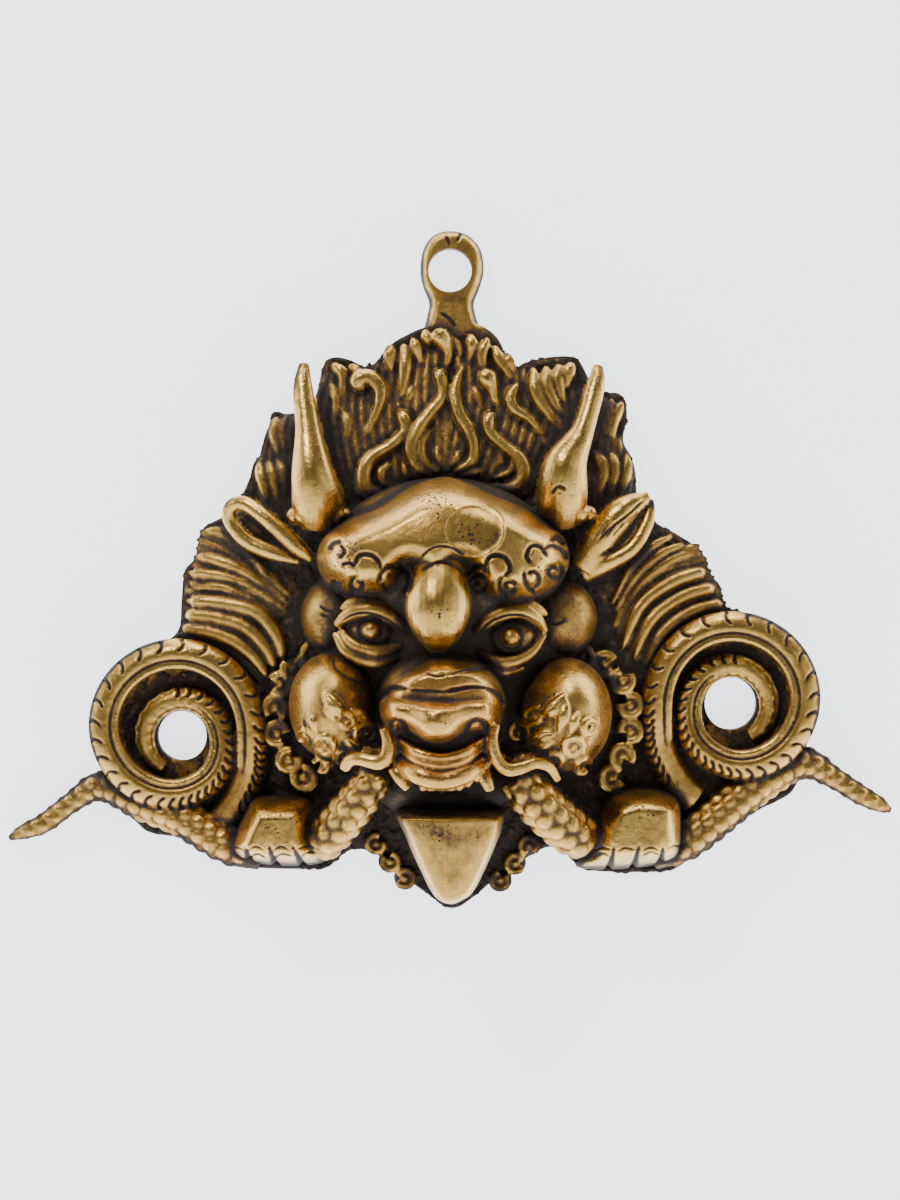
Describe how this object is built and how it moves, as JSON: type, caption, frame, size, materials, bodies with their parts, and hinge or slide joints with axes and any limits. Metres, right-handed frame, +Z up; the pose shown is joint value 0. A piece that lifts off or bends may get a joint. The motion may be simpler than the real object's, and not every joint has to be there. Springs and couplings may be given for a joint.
{
  "type": "wall mask",
  "caption": "Cast-brass kirtimukha mask: horned lion-like face with a flame mane, coiled serpents, paws and a tongue, hollow behind, hung on a wall by the ring at its top.",
  "frame": {"origin": "centre of the hanging ring's hole, in the plane of the wall that the back lies against", "axes": "+Y into the wall, so the face looks along -Y; +Z up; +X to the viewer's right, along the width"},
  "size_m": [0.2644, 0.064, 0.1997],
  "materials": {
    "brass": "cast brass with a dark brown patina in its recesses, rubbed bright on the high places"
  },
  "bodies": {
    "root": {"kirtimukha_mask": "brass"}
  },
  "joints": []
}
